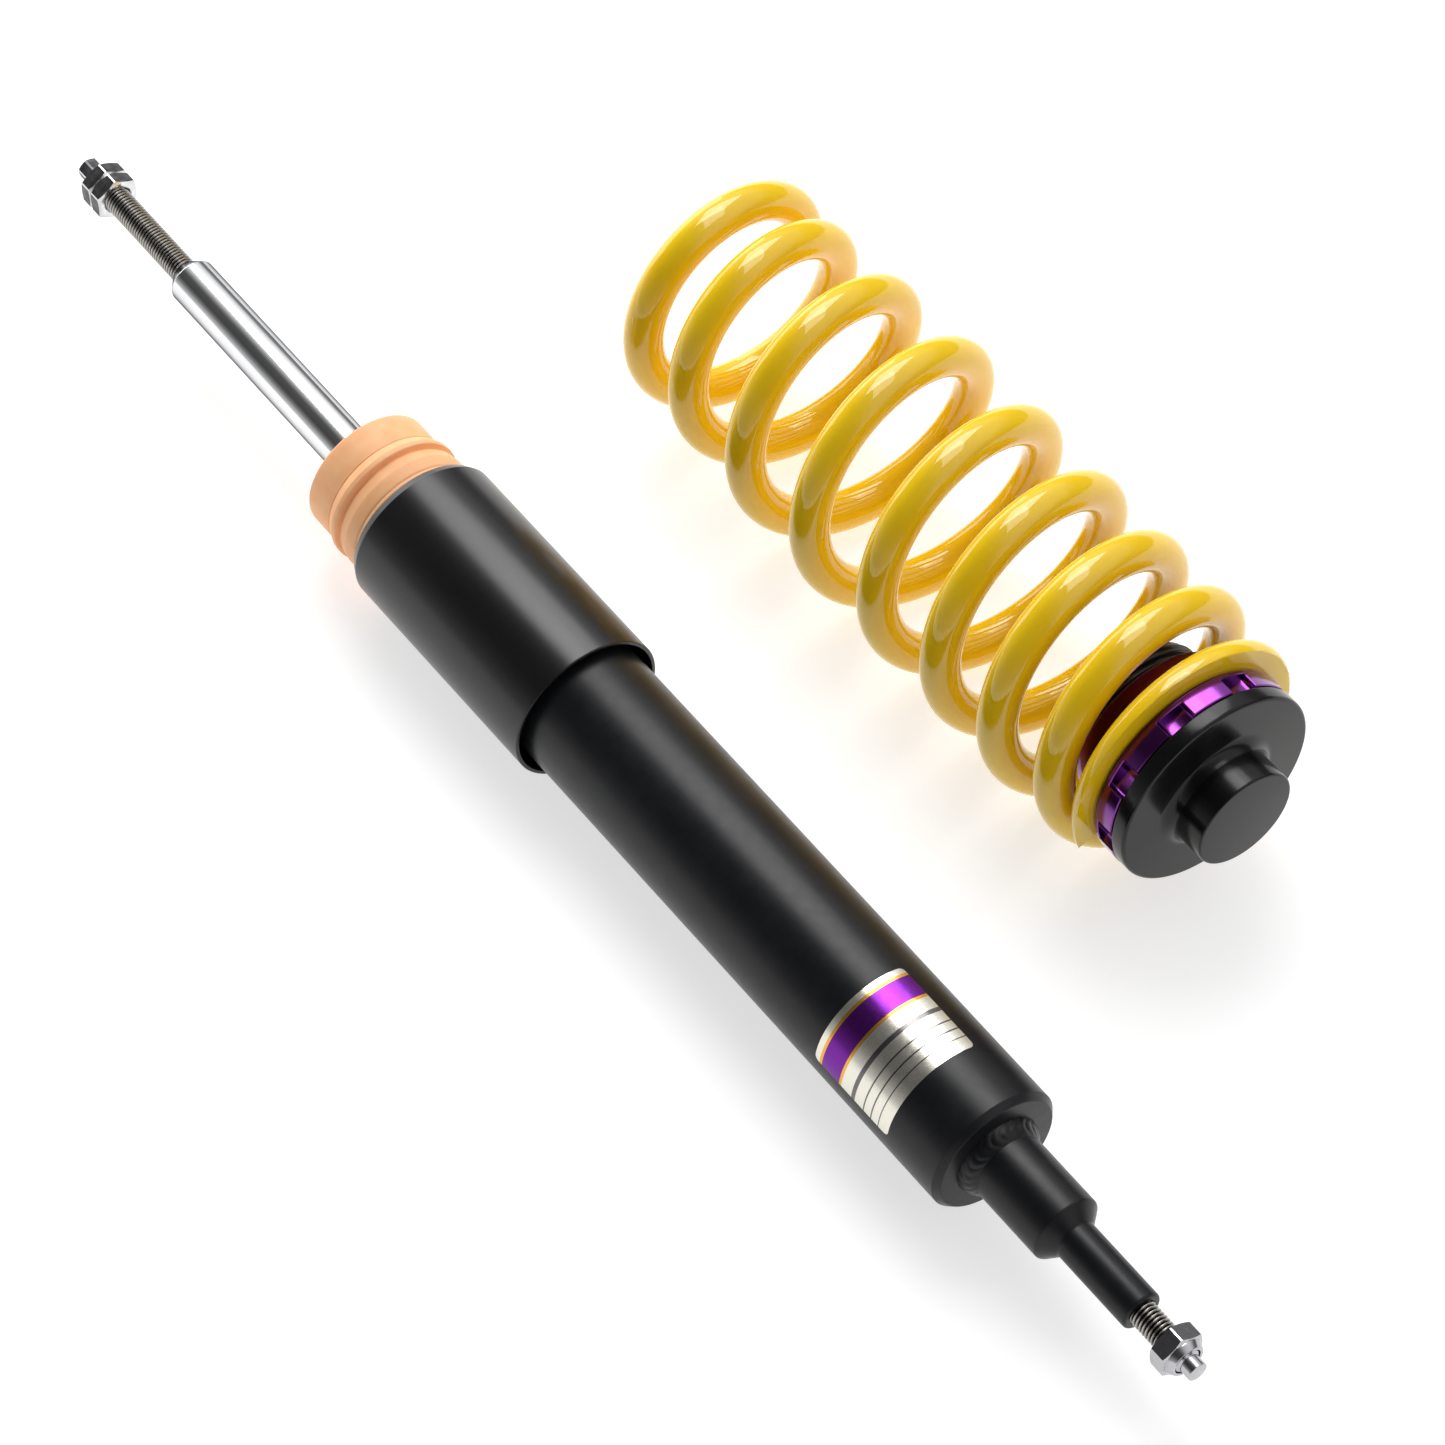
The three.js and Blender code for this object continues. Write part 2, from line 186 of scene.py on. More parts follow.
def thread(name, place, start, end, major, minor, pitch, shape, sides=72, per_pitch=8):
    """A threaded bar: a right-hand groove of one pitch a turn, with lower crests near both ends."""
    rings = round((end - start) / pitch * per_pitch)
    end_crest = 0.25
    verts = []
    for i in range(rings + 1):
        d = start + (end - start) * i / rings
        fade = min(1, (d - start) / pitch, (end - d) / pitch)
        crest = end_crest + (1 - end_crest) * fade
        for j in range(sides):
            phase = (d / pitch - j / sides) % 1
            r = minor + (major - minor) * min(shape(phase), crest)
            verts.append(place(d, r, TAU * j / sides))
    faces = grid_faces(rings + 1, sides, False, True)
    faces.append(tuple(range(sides)))
    faces.append(tuple(range(rings * sides, (rings + 1) * sides)))
    return finish_mesh(name, verts, faces, 60)


def vee(phase):
    """A 60 degree thread's height from root to crest, with both flattened."""
    return min(1, max(0, 1.25 * (1 - abs(2 * phase - 1)) - 0.1))


def wave(phase):
    """A rounded thread's height, with broad crests and narrow roots."""
    return (0.5 - 0.5 * math.cos(TAU * phase)) ** 0.8


def hexagon_angles(corner, flats, bevel):
    """Angles round a hexagon that fall on the edges of its bevelled corners."""
    corner_r = flats / 2 / math.cos(TAU / 12)
    half = math.atan(bevel * math.tan(TAU / 6) / (corner_r - bevel))
    angles = []
    for k in range(6):
        start = corner + TAU / 6 * k
        angles += [start - half, start, start + half]
        angles += [start + half + (TAU / 6 - 2 * half) * i / 16 for i in range(1, 16)]
    return angles


def hexagon_radius(angle, corner, flats, bevel):
    """How far a hexagon with bevelled corners reaches at an angle."""
    corner_r = flats / 2 / math.cos(TAU / 12)
    off = (angle - corner) % (TAU / 6)
    flat_r = flats / 2 / math.cos(off - TAU / 12)
    bevel_r = (corner_r - bevel) / math.cos(min(off, TAU / 6 - off))
    return min(flat_r, bevel_r)


def hex_nut(name, place, start, end, flats, corner, bore):
    """A hexagon nut, its corners cut by a cone at each face and its bore countersunk."""
    face_r = flats / 2 * 0.96
    slope = math.tan(math.radians(24))
    bevel, least_cut, edge = 0.17, 0.06, 0.2
    sink_depth, sink_width = 0.6, 0.7

    def profile(angle):
        r = hexagon_radius(angle, corner, flats, bevel)
        cut = (r - face_r) * slope + least_cut
        return [
            (start + sink_depth, bore),
            (start, bore + sink_width),
            (start, face_r - edge),
            (start + cut, r),
            (end - cut, r),
            (end, face_r - edge),
            (end, bore + sink_width),
            (end - sink_depth, bore),
        ]

    return polar(name, place, profile, hexagon_angles(corner, flats, bevel), sharp=22)


def mark_facets(piece, corner, reach, material):
    """Give the flats of a hexagon on the damper's axis another material than its ends and bevels."""
    piece.data.materials.append(material)
    for face in piece.data.polygons:
        if abs(face.normal.x) > 0.1:
            continue
        off_y, off_z = face.center.y - DAMPER_Y, face.center.z - DAMPER_Z
        turn = (math.atan2(face.normal.z, face.normal.y) - corner) % (TAU / 6) - TAU / 12
        if abs(turn) < math.radians(4) and math.hypot(off_y, off_z) > reach:
            face.material_index = 1


def join(first, *others):
    """One object of several pieces of one make."""
    bm = bmesh.new()
    bm.from_mesh(first.data)
    for other in others:
        bm.from_mesh(other.data)
        bpy.data.objects.remove(other)
    bm.to_mesh(first.data)
    bm.free()
    return first


# ---------------------------------------------------------------- materials
def new_material(name, **values):
    """A Principled material with its plain values on its sockets."""
    material = bpy.data.materials.new(name)
    material.use_nodes = True
    shader = material.node_tree.nodes["Principled BSDF"]
    for key, value in values.items():
        shader.inputs[key.replace("_", " ")].default_value = value
    return material, material.node_tree, shader


def node(tree, kind, **values):
    """A new node with its input sockets or its settings given by name."""
    made = tree.nodes.new(kind)
    for key, value in values.items():
        if key in made.inputs:
            made.inputs[key].default_value = value
        else:
            setattr(made, key, value)
    return made


def noise(tree, scale, detail=3, stretch=(1, 1, 1)):
    """A noise over the object's own coordinates, in metres."""
    where = node(tree, "ShaderNodeTexCoord")
    mapping = node(tree, "ShaderNodeMapping")
    mapping.inputs["Scale"].default_value = stretch
    tree.links.new(where.outputs["Object"], mapping.inputs["Vector"])
    made = node(tree, "ShaderNodeTexNoise", Scale=scale, Detail=detail, Roughness=0.55)
    tree.links.new(mapping.outputs["Vector"], made.inputs["Vector"])
    return made.outputs["Fac"]


def ramp(tree, value, stops):
    """A colour ramp over a value: stops are (position, grey or colour)."""
    made = node(tree, "ShaderNodeValToRGB")
    elements = made.color_ramp.elements
    while len(elements) < len(stops):
        elements.new(0.5)
    for element, (position, colour) in zip(elements, stops):
        element.position = position
        element.color = (*colour, 1) if isinstance(colour, tuple) else (colour,) * 3 + (1,)
    tree.links.new(value, made.inputs["Fac"])
    return made.outputs["Color"]


def vary_colour(tree, shader, value, low, high):
    """Let a noise move the base colour between two colours."""
    tree.links.new(ramp(tree, value, [(0.3, low), (0.7, high)]), shader.inputs["Base Color"])


def vary_roughness(tree, shader, value, low, high):
    """Let a noise move the roughness between two values."""
    tree.links.new(ramp(tree, value, [(0.3, low), (0.7, high)]), shader.inputs["Roughness"])


def bump(tree, shader, value, strength, distance):
    """Let a noise raise the surface by up to a distance in metres."""
    made = node(tree, "ShaderNodeBump", Strength=strength, Distance=distance)
    tree.links.new(value, made.inputs["Height"])
    tree.links.new(made.outputs["Normal"], shader.inputs["Normal"])


def off_axis(tree, axis_y, axis_z):
    """The distance in metres from an axis along X."""
    where = node(tree, "ShaderNodeTexCoord")
    mapping = node(tree, "ShaderNodeMapping")
    mapping.inputs["Location"].default_value = (0, -axis_y, -axis_z)
    mapping.inputs["Scale"].default_value = (0, 1, 1)
    tree.links.new(where.outputs["Object"], mapping.inputs["Vector"])
    length = node(tree, "ShaderNodeVectorMath", operation="LENGTH")
    tree.links.new(mapping.outputs["Vector"], length.inputs[0])
    return length.outputs["Value"]


def spread(tree, value, low, high):
    """A value brought from low..high to 0..1."""
    made = node(tree, "ShaderNodeMapRange")
    made.inputs["From Min"].default_value = low
    made.inputs["From Max"].default_value = high
    tree.links.new(value, made.inputs["Value"])
    return made.outputs["Result"]


def black_coat_material():
    """Satin black powder coat: fine orange peel, faint mottling in tone and gloss."""
    material, tree, shader = new_material("black_coat", IOR=1.35)
    vary_colour(tree, shader, noise(tree, 90, 5), (0.005, 0.0055, 0.007), (0.009, 0.0095, 0.0115))
    vary_roughness(tree, shader, noise(tree, 260, 4), 0.30, 0.36)
    bump(tree, shader, noise(tree, 1400, 2), 0.12, 0.00008)
    return material


def black_plastic_material():
    """Smooth satin moulded plastic with faint flow along the axis."""
    material, tree, shader = new_material("black_plastic", IOR=1.47)
    flow = noise(tree, 60, 4, stretch=(0.3, 1, 1))
    vary_colour(tree, shader, flow, (0.006, 0.006, 0.0065), (0.010, 0.010, 0.0105))
    vary_roughness(tree, shader, noise(tree, 200, 3), 0.25, 0.27)
    bump(tree, shader, noise(tree, 2500, 2), 0.03, 0.00002)
    return material


def black_rubber_material():
    """Dense black rubber of the adjuster's base."""
    material, tree, shader = new_material("black_rubber", IOR=1.34)
    vary_colour(tree, shader, noise(tree, 120, 4), (0.004, 0.004, 0.004), (0.007, 0.007, 0.007))
    vary_roughness(tree, shader, noise(tree, 700, 3), 0.15, 0.21)
    bump(tree, shader, noise(tree, 3000, 2), 0.06, 0.00003)
    return material


def chrome_material():
    """Hard chrome, ground round the rod, so its fine lines run round it."""
    material, tree, shader = new_material("chrome", Metallic=1.0)
    shader.inputs["Specular Tint"].default_value = (0.12, 0.12, 0.14, 1)
    lines = noise(tree, 900, 3, stretch=(9, 0.4, 0.4))
    vary_colour(tree, shader, noise(tree, 40, 2), (0.80, 0.81, 0.82), (0.88, 0.88, 0.89))
    vary_roughness(tree, shader, lines, 0.11, 0.16)
    bump(tree, shader, lines, 0.08, 0.00001)
    return material


def steel_material(name, low, high, rough_low, rough_high):
    """Plated steel with fine scratches."""
    material, tree, shader = new_material(name, Metallic=1.0)
    vary_colour(tree, shader, noise(tree, 350, 4), low, high)
    vary_roughness(tree, shader, noise(tree, 1300, 4, stretch=(3, 1, 1)), rough_low, rough_high)
    bump(tree, shader, noise(tree, 4000, 3, stretch=(4, 1, 1)), 0.12, 0.00002)
    return material


def thread_material():
    """A rolled thread, coloured by distance from the axis: painted shade dark in the roots, a painted
    highlight bright on the crests.
    """
    material, tree, shader = new_material("thread_steel", Metallic=1.0)
    height = spread(tree, off_axis(tree, DAMPER_Y, DAMPER_Z), THREAD_ROOT_R * MM, THREAD_R * MM)
    # Painted shade in the roots and a painted highlight on the crests, set by distance from the axis.
    painted_shade_roots, painted_highlight_crests = (0.018, 0.016, 0.014), (0.46, 0.44, 0.41)
    tree.links.new(ramp(tree, height, [(0.25, painted_shade_roots), (0.9, painted_highlight_crests)]), shader.inputs["Base Color"])
    vary_roughness(tree, shader, noise(tree, 900, 3), 0.22, 0.3)
    bump(tree, shader, noise(tree, 3000, 2), 0.08, 0.00001)
    return material


def foam_material():
    """Peach-orange cellular polyurethane: a matt skin with tiny pores."""
    material, tree, shader = new_material("orange_foam", IOR=1.45)
    shader.inputs["Subsurface Weight"].default_value = 0.15
    shader.inputs["Subsurface Radius"].default_value = (0.004, 0.002, 0.001)
    shader.inputs["Subsurface Scale"].default_value = 0.5
    skin = noise(tree, 160, 5)
    vary_colour(tree, shader, skin, (0.95, 0.47, 0.22), (1.0, 0.54, 0.27))
    vary_roughness(tree, shader, noise(tree, 900, 3), 0.5, 0.62)
    bump(tree, shader, noise(tree, 2200, 3), 0.3, 0.00012)
    return material


def yellow_material():
    """Glossy yellow powder coat under a clear coat, with a faint orange peel."""
    material, tree, shader = new_material("yellow_coat", IOR=1.5, Roughness=0.5)
    shader.inputs["Specular IOR Level"].default_value = 0.0
    shader.inputs["Coat Weight"].default_value = 1.0
    shader.inputs["Coat Roughness"].default_value = 0.01
    shader.inputs["Coat IOR"].default_value = 1.62
    vary_colour(tree, shader, noise(tree, 50, 3), (0.92, 0.585, 0.006), (0.96, 0.63, 0.010))
    bump(tree, shader, noise(tree, 420, 2), 0.05, 0.0002)
    return material


def purple_material(name, low, high):
    """Purple anodised aluminium with the lathe's fine lines."""
    material, tree, shader = new_material(name, Metallic=1.0)
    lines = noise(tree, 700, 3, stretch=(8, 0.5, 0.5))
    vary_colour(tree, shader, noise(tree, 60, 3), low, high)
    vary_roughness(tree, shader, lines, 0.12, 0.2)
    bump(tree, shader, lines, 0.1, 0.00002)
    shader.inputs["Coat Weight"].default_value = 0.7
    shader.inputs["Coat Roughness"].default_value = 0.12
    return material


def plain_material(name, low, high, metallic, rough):
    """A machined or moulded inner piece."""
    material, tree, shader = new_material(name, Metallic=metallic)
    vary_colour(tree, shader, noise(tree, 200, 4), low, high)
    vary_roughness(tree, shader, noise(tree, 900, 3), rough, rough + 0.12)
    bump(tree, shader, noise(tree, 2500, 2), 0.1, 0.00003)
    return material


def foil_material():
    """The label: silver foil with a purple band, gold rules and grey ruled lines."""
    material, tree, shader = new_material("label_foil", Metallic=0.92)
    low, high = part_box("label_plate")
    where = node(tree, "ShaderNodeTexCoord")
    split = node(tree, "ShaderNodeSeparateXYZ")
    tree.links.new(where.outputs["Object"], split.inputs["Vector"])
    along = spread(tree, split.outputs["X"], low.x, high.x)
    silver, grey = (0.80, 0.77, 0.68), (0.16, 0.15, 0.15)
    purple, gold = (0.17, 0.02, 0.30), (0.80, 0.42, 0.05)
    stops = [(0, silver), (0.06, gold), (0.09, purple), (0.33, gold), (0.36, silver)]
    stops += [(0.50, grey), (0.545, silver), (0.66, grey), (0.675, silver)]
    stops += [(0.76, grey), (0.775, silver), (0.86, grey), (0.875, silver)]
    bands = ramp(tree, along, stops)
    bands.node.color_ramp.interpolation = "CONSTANT"
    tree.links.new(bands, shader.inputs["Base Color"])
    vary_roughness(tree, shader, noise(tree, 500, 4), 0.18, 0.26)
    bump(tree, shader, noise(tree, 300, 3), 0.08, 0.0001)
    return material


BLACK_COAT = black_coat_material()
BLACK_PLASTIC = black_plastic_material()
BLACK_RUBBER = black_rubber_material()
CHROME = chrome_material()
PLATED = steel_material("plated_steel", (0.62, 0.63, 0.64), (0.74, 0.75, 0.76), 0.14, 0.24)
THREAD = thread_material()
FACET = steel_material("facet_steel", (0.05, 0.05, 0.052), (0.15, 0.15, 0.155), 0.42, 0.55)
STUD_STEEL = steel_material("stud_steel", (0.42, 0.42, 0.44), (0.52, 0.52, 0.54), 0.12, 0.2)
FOAM = foam_material()
YELLOW = yellow_material()
PURPLE = purple_material("purple_anodised", (0.15, 0.009, 0.22), (0.18, 0.012, 0.26))
# A darker copy of the collar's purple for the seat ring: painted shade.
PAINTED_SHADE_PURPLE = purple_material("purple_anodised_painted_shade", (0.12, 0.009, 0.16), (0.15, 0.012, 0.20))
FOIL = foil_material()
MACHINED = plain_material("machined_aluminium", (0.62, 0.63, 0.65), (0.72, 0.73, 0.75), 1.0, 0.25)
SEAL = plain_material("seal_rubber", (0.01, 0.01, 0.01), (0.02, 0.02, 0.02), 0.0, 0.5)
BRONZE = plain_material("bronze", (0.5, 0.3, 0.12), (0.6, 0.38, 0.16), 1.0, 0.3)


def dress(piece, material, body, slot, *nodes):
    """The piece's material, the body it rides on, its record slot, which is not used, and the CAD nodes it
    stands for.
    """
    piece.data.materials.clear()
    piece.data.materials.append(material)
    if nodes:
        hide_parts(*nodes)
    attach(piece, body)


# ---------------------------------------------------------------- damper pieces
def make_rod():
    """The ground shaft, its upper thread and its hexagon tip."""
    journal_r = 6
    shaft = lathe("rod_shaft", on_damper, [
        (SHOULDER, 0), (SHOULDER, 5.7, 0.3), (SHOULDER + 4.2, ROD_R, 1.2), (PISTON_SEAT, ROD_R, 0.3),
        (PISTON_SEAT, journal_r, 0.3), (ROD_END, journal_r, 0.8), (ROD_END, 0),
    ])
    dress(shaft, CHROME, "piston_rod", "chrome_rod", "piston_rod")
    bar = thread("rod_thread", on_damper, TIP_END - 0.4, SHOULDER + 0.2, THREAD_R, THREAD_ROOT_R, 1.4, vee)
    dress(bar, THREAD, "piston_rod", "chrome_rod")

    flats, corner, bevel = 7.7, math.radians(43), 0.2
    face_r = 3.4

    def tip_profile(angle):
        """The hexagon's side at an angle, with a chamfer that is longer toward the corners."""
        r = hexagon_radius(angle, corner, flats, bevel)
        return [(0, 0), (0, face_r), (0.1 + (r - face_r) * 0.5, r), (TIP_END, r), (TIP_END, 0)]

    angles = hexagon_angles(corner, flats, bevel)
    tip = polar("rod_hex_tip", on_damper, tip_profile, angles, closed=False, sharp=22)
    dress(tip, PLATED, "piston_rod", "chrome_rod")
    mark_facets(tip, corner, 3 * MM, FACET)


def make_top_nuts():
    """The two thin nuts, locked against each other on the rod's thread."""
    corner, height = math.radians(31.3), 5.7
    for name, start in (("top_nut_upper", 8.4), ("top_nut_lower", 14.4)):
        nut = hex_nut(name + "_fine", on_damper, start, start + height, NUT_FLATS, corner, NUT_BORE_R)
        dress(nut, PLATED, "piston_rod", "zinc_steel", name)
        mark_facets(nut, corner, 7 * MM, FACET)


def make_bump_stop():
    """A straight head, a thin parting line, a lip, a groove, a swell, a second line and a foot."""
    bore = ROD_R + 0.25
    head_r, lip_r, groove_r, foot_r = 24.5, 26.0, 23.8, 25.1
    end = SLEEVE_TOP + 7.2
    stop = lathe("bump_stop_foam", on_damper, [
        (BUMP_TOP, bore, 0.6), (BUMP_TOP, head_r, 1.4), (BUMP_TOP + 12.7, head_r, 0.15),
        (BUMP_TOP + 13.0, head_r - 0.35, 0.15), (BUMP_TOP + 13.4, head_r + 0.1, 0.15),
        (BUMP_TOP + 16.6, lip_r, 1.0), (BUMP_TOP + 18.6, lip_r, 0.6), (BUMP_TOP + 19.3, groove_r, 0.4),
        (BUMP_TOP + 20.2, groove_r, 0.4), (BUMP_TOP + 20.8, foot_r - 0.1, 0.4),
        (BUMP_TOP + 24.6, foot_r + 0.5, 3.0), (BUMP_TOP + 29.2, foot_r, 1.0),
        (BUMP_TOP + 29.8, foot_r - 0.4, 0.2), (BUMP_TOP + 30.4, foot_r, 0.2),
        (end, foot_r, 0.6), (end, bore, 0.4),
    ])
    dress(stop, FOAM, "bump_set", "orange_foam", "bump_stop")


def make_sleeve():
    """An open cup with a chamfered top edge and a thin wall that reaches over the tube."""
    inner, neck = SLEEVE_R - 1.5, 25.35
    sleeve = lathe("dust_sleeve_fine", on_damper, [
        (SLEEVE_TOP, neck, 0.2), (SLEEVE_TOP, 27.6, 0.25), (SLEEVE_TOP + 3.1, SLEEVE_R, 0.3),
        (SLEEVE_END, SLEEVE_R, 0.5), (SLEEVE_END, inner, 0.4), (SLEEVE_TOP + 8.5, inner, 1.0),
        (SLEEVE_TOP + 5, neck, 0.4),
    ], steps=6)
    dress(sleeve, BLACK_PLASTIC, "bump_set", "black_plastic", "dust_sleeve")


def make_tube():
    """The tube, with a mouth for the rod at one end and a chamfered floor at the other."""
    top = (tube_box[0].x - TIP_X) / MM
    bore, mouth_r, lip = 22.65, 15, 2
    wall_end = TUBE_END - 5
    tube = lathe("pressure_tube_fine", on_damper, [
        (TUBE_END, 0), (TUBE_END, TUBE_R - 2, 0.8), (TUBE_END - 2.4, TUBE_R, 0.25), (top, TUBE_R, 1.0),
        (top, mouth_r, 0.4), (top + lip, mouth_r, 0.4), (top + lip, bore), (wall_end, bore), (wall_end, 0),
    ])
    dress(tube, BLACK_COAT, "damper_tube", "black_paint", "pressure_tube")


def make_stem():
    """The stem with its thinner neck, and the weld bead round its foot."""
    face, socket = TUBE_END + 0.05, STEM_END - 3
    stem = lathe("lower_stem_fine", on_damper, [
        (face, 0), (face, STEM_R), (TUBE_END + 35.7, STEM_R, 1.2), (TUBE_END + 40.5, NECK_R, 1.2),
        (STEM_END, NECK_R, 1.1), (STEM_END, THREAD_R, 0.2), (socket, THREAD_R), (socket, 0),
    ])
    dress(stem, BLACK_COAT, "damper_tube", "black_paint", "lower_stem")

    ripples, span = 26, 12
    length, width, crown, ripple_height, root_r = 5.7, 3.0, 0.4, 0.2, 12.6

    def bead(angle):
        """The bead's section at an angle, with overlapping ripples that curve back at both toes."""
        row = [(TUBE_END + 0.02, root_r)]
        for k in range(span + 1):
            s = k / span
            arch = math.sin(math.pi * s)
            phase = (ripples * angle / TAU - 0.9 * arch) % 1
            swell = ripple_height * arch ** 0.7 * (math.sin(math.pi * phase) - 0.6)
            bulge = crown * arch + swell
            row.append((face + length * s + bulge, STEM_R - 0.03 + width * (1 - s) + bulge))
        row.append((TUBE_END + 5.4, root_r))
        return row

    angles = [TAU * k / 432 for k in range(432)]
    weld = polar("weld_bead_fine", on_damper, bead, angles, sharp=50)
    dress(weld, BLACK_COAT, "damper_tube", "black_paint", "weld_bead")


def make_stud():
    """The lower stud with its dog point, and its lock nut with a turned collar."""
    bar = thread("stud_thread", on_damper, STEM_END - 2.5, 629.6, THREAD_R, THREAD_ROOT_R, 1.5, vee,
                 per_pitch=10)
    dress(bar, THREAD, "damper_tube", "zinc_steel", "lower_stud")
    root, step_r = 628, 4.7
    dog = lathe("stud_dog_point", on_damper, [
        (root, 0), (root, step_r), (630.4, step_r, 0.2), (631.1, DOG_R, 0.2), (STUD_END, DOG_R, 0.3),
        (STUD_END, 0),
    ], sides=96)
    dress(dog, STUD_STEEL, "damper_tube", "zinc_steel")
    corner = math.radians(34)
    nut = hex_nut("lower_nut_fine", on_damper, LOWER_NUT_TOP, LOWER_NUT_END, NUT_FLATS, corner, NUT_BORE_R)
    collar = lathe("lower_nut_collar", on_damper, [
        (LOWER_NUT_END - 0.7, NUT_BORE_R), (LOWER_NUT_END - 0.7, 7.5), (LOWER_NUT_END + 0.4, 7.45, 0.3),
        (LOCK_COLLAR_END, 6.1, 0.5), (LOCK_COLLAR_END, NUT_BORE_R, 0.3),
    ], sides=96)
    dress(join(nut, collar), STUD_STEEL, "damper_tube", "zinc_steel", "lower_nut")


def make_label():
    """A thin curved plate with round corners, stuck on the tube."""
    low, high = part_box("label_plate")
    start, end = (low.x - TIP_X) / MM, (high.x - TIP_X) / MM
    first, last = math.radians(66), math.radians(176)
    corner, inner, outer = 2.0, TUBE_R + 0.01, TUBE_R + 0.13
    arc = [corner * (1 - math.cos(TAU / 4 * k / 6)) for k in range(7)]
    stations = [start + a for a in arc] + [end - a for a in reversed(arc)]
    columns = 60

    def row(d, r):
        inset = corner - min(corner, d - start, end - d)
        trim = (corner - math.sqrt(max(0, corner * corner - inset * inset))) / TUBE_R
        a, b = first + trim, last - trim
        return [on_damper(d, r, a + (b - a) * k / (columns - 1)) for k in range(columns)]

    top = [p for d in stations for p in row(d, outer)]
    under = [p for d in stations for p in row(d, inner)]
    rows = len(stations)
    faces = grid_faces(rows, columns, False, False)
    faces += [tuple(i + len(top) for i in reversed(f)) for f in faces]
    rim = list(range(columns))
    rim += [i * columns + columns - 1 for i in range(1, rows)]
    rim += [(rows - 1) * columns + j for j in range(columns - 2, -1, -1)]
    rim += [i * columns for i in range(rows - 2, 0, -1)]
    for k, a in enumerate(rim):
        b = rim[(k + 1) % len(rim)]
        faces.append((a, b, b + len(top), a + len(top)))
    label = finish_mesh("label_foil_plate", top + under, faces, 40)
    dress(label, FOIL, "damper_tube", "foil", "label_plate")


# ---------------------------------------------------------------- spring set pieces
def make_base():
    """The base with its nose and flange, and the threaded body on it."""
    base = lathe("perch_base_fine", on_spring, [
        (0, 0), (0, NOSE_R, 0.9), (NOSE_LENGTH, NOSE_R, 4.6), (NOSE_LENGTH, FLANGE_R, 1.3),
        (FLANGE_BACK, FLANGE_R, 0.8), (FLANGE_BACK, 0),
    ], steps=8)
    dress(base, BLACK_RUBBER, "spring_base", "black_rubber", "perch_base")
    body = thread("threaded_body_fine", on_spring, FLANGE_BACK + 0.1, BODY_TOP, BODY_R, BODY_ROOT_R,
                  BODY_PITCH, wave, sides=144, per_pitch=12)
    dress(body, BLACK_PLASTIC, "spring_base", "black_plastic", "threaded_body")


def make_collar():
    """The slotted collar with its boss, and the ring that the spring sits on, in a darker purple that is
    painted shade.
    """
    start = FLANGE_BACK + 0.25
    bore = BODY_R + 0.3
    pitch = 360 / SLOTS
    chamfer = 0.35
    # In shares of a slot's half width: where its chamfer starts, and where its floor ends.
    outer, floor = 1.06, 0.97
    # How much of the slot's depth its steep walls take.
    wall = 0.45

    def rim_radius(angle):
        """The slotted rim: a hollowed floor between steep walls with a small chamfer at each edge."""
        off = (math.degrees(angle) - SLOT_FIRST + pitch / 2) % pitch - pitch / 2
        t = abs(off) / SLOT_HALF
        if t >= outer:
            return COLLAR_R
        if t >= 1:
            return COLLAR_R - chamfer * (outer - t) / (outer - 1)
        if t >= floor:
            return COLLAR_R - chamfer - (SLOT_DEPTH * wall - chamfer) * (1 - t) / (1 - floor)
        hollow = math.sqrt(1 - (t / floor) ** 2 * 0.999)
        return COLLAR_R - SLOT_DEPTH * (wall + (1 - wall) * hollow)

    def profile(angle):
        """The collar's section: bore, slotted rim, seat face with a fillet, and boss."""
        r = rim_radius(angle)
        return [
            (start, bore), (start, r - chamfer), (start + chamfer, r), (SLOT_TOP, r),
            (SLOT_TOP, max(r, COLLAR_R - 0.3)), (SLOT_TOP + 0.25, COLLAR_R),
            (COLLAR_SEAT - 0.55, COLLAR_R), (COLLAR_SEAT, COLLAR_R - 0.55), (COLLAR_SEAT, BOSS_R + 1.0),
            (COLLAR_SEAT + 0.3, BOSS_R + 0.3), (COLLAR_SEAT + 1.0, BOSS_R),
            (BOSS_TOP - 0.7, BOSS_R), (BOSS_TOP, BOSS_R - 0.7), (BOSS_TOP, bore),
        ]

    marks = []
    for k in range(SLOTS):
        middle = SLOT_FIRST + pitch * k
        shares = [-outer, -1.0] + [i / 12 * floor for i in range(-12, 13)] + [1.0, outer]
        marks += [middle + SLOT_HALF * s for s in shares]
        rest = pitch - 2 * SLOT_HALF * outer
        marks += [middle + SLOT_HALF * outer + rest * i / 12 for i in range(1, 12)]
    angles = [math.radians(a) for a in marks]
    collar = polar("adjuster_collar_fine", on_spring, profile, angles, sharp=28)
    dress(collar, PURPLE, "collar", "purple_anodised", "adjuster_collar")
    under, over, inner = COLLAR_SEAT + 0.15, COLLAR_SEAT + 1.45, BOSS_R + 1.9
    seat = lathe("seat_ring_fine", on_spring, [
        (under, inner), (under, COLLAR_R - 0.5, 0.2), (over, COLLAR_R - 1.3, 0.2), (over, inner),
    ])
    # The seat ring takes the darker purple, which is painted shade.
    dress(seat, PAINTED_SHADE_PURPLE, "seat_ring", "purple_anodised", "seat_ring")


def smooth_value(values, position):
    """The value at a position counted in places of an evenly spaced list, on a Catmull-Rom curve."""
    i = min(len(values) - 2, max(0, int(position)))
    t = position - i
    a, b, c, d = (values[min(len(values) - 1, max(0, i + k))] for k in (-1, 0, 1, 2))
    return 0.5 * (
        2 * b + (c - a) * t + (2 * a - 5 * b + 4 * c - d) * t * t + (3 * b - a - 3 * c + d) * t ** 3
    )


